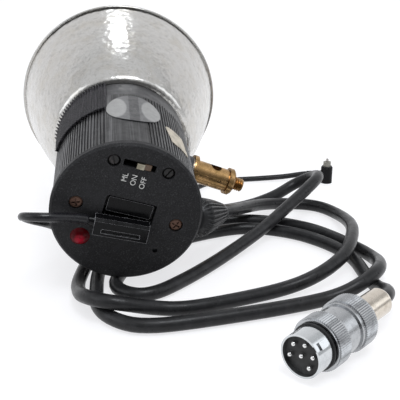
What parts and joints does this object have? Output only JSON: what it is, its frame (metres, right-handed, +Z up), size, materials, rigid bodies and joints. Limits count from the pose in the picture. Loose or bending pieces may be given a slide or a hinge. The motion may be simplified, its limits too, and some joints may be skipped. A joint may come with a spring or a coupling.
{
  "type": "studio flash head",
  "caption": "Small cylindrical flash head with a ribbed barrel, a pull-off bowl reflector, a drilled mounting stud, a coiled multi-pin lead and a plugged-in sync lead.",
  "frame": {"origin": "on the surface it lies on, under the centre of the head with its stud and sync plug, leads left out", "axes": "+Z up from the surface, +Y the way the light points, seen from above, +X to the side of the mounting stud"},
  "size_m": [0.2474, 0.3042, 0.1475],
  "materials": {
    "barrel_metal": "satin",
    "casting_black": "satin",
    "plate_black": "matte",
    "hook_tape": "matte",
    "label_foil": "satin",
    "label_paper": "matte",
    "rusty_steel": "matte",
    "dark_steel": "satin",
    "steel": "satin",
    "bright_steel": "polished",
    "brown_plastic": "matte",
    "black_plastic": "satin",
    "red_jewel": "gloss",
    "lamp_glass": "gloss",
    "tube_glass": "gloss",
    "blue_plastic": "matte",
    "contact_brass": "satin",
    "board_green": "satin",
    "components": "gloss",
    "copper_coil": "satin",
    "capacitor_sleeve": "satin",
    "ceramic": "satin",
    "reflector_aluminium": "polished",
    "neck_aluminium": "satin",
    "stud_brass": "satin",
    "cable_rubber": "satin",
    "boot_rubber": "matte",
    "connector_alloy": "satin",
    "warm_nickel": "satin",
    "insert_black": "satin",
    "tip_white": "matte"
  },
  "bodies": {
    "head": {"barrel": "barrel_metal", "front_collar": "casting_black", "hook_strip": "hook_tape", "oval_label": "label_foil", "side_label": "label_paper", "rear_plate": "plate_black", "plate_screws": "rusty_steel", "switch_screws": "dark_steel", "switch_body": "black_plastic", "ready_lens": "red_jewel", "ready_lamp": "lamp_glass", "trimmer": "blue_plastic", "sync_socket": "black_plastic", "sync_contacts": "contact_brass", "tie_rods": "steel", "circuit_board": "board_green", "board_parts": "components", "trigger_coil": "copper_coil", "flash_capacitor": "capacitor_sleeve", "capacitor_clamp": "steel", "tube_base": "ceramic", "base_screws": "steel", "tube_sockets": "ceramic", "flash_tube": "tube_glass", "lamp_holder": "ceramic", "modelling_lamp": "lamp_glass", "stud": "stud_brass", "stud_washer": "steel", "lead_boot": "boot_rubber", "main_lead": "cable_rubber", "connector_shell": "connector_alloy", "connector_seal": "boot_rubber", "connector_insert": "insert_black", "connector_pins": "bright_steel", "connector_body": "connector_alloy", "clamp_ring": "connector_alloy", "connector_sleeve": "warm_nickel", "sync_plug": "black_plastic", "sync_blades": "contact_brass", "sync_lead": "cable_rubber", "tip_boot": "black_plastic", "tip_body": "black_plastic", "tip_insulator": "tip_white", "tip_pin": "bright_steel"},
    "slider": {"slider": "bright_steel", "slider_strip": "brown_plastic"},
    "coupling": {"coupling_ring": "connector_alloy"},
    "reflector": {"reflector_bowl": "reflector_aluminium", "reflector_neck": "neck_aluminium", "reflector_rivets": "steel"}
  },
  "joints": [
    {"name": "switch_slide", "type": "slide", "parent": "head", "child": "slider", "axis": [0.9537, 0.034, -0.2988], "range_m": [-0.0075, 0]},
    {"name": "coupling_turn", "type": "hinge", "parent": "head", "child": "coupling", "pos_m": [0.09048, -0.18175, 0.015], "axis": [0.749, 0.6626, 0], "continuous": true},
    {"name": "reflector_pull", "type": "slide", "parent": "head", "child": "reflector", "axis": [0, 0.9936, 0.1132], "range_m": [0, 0.014]}
  ]
}
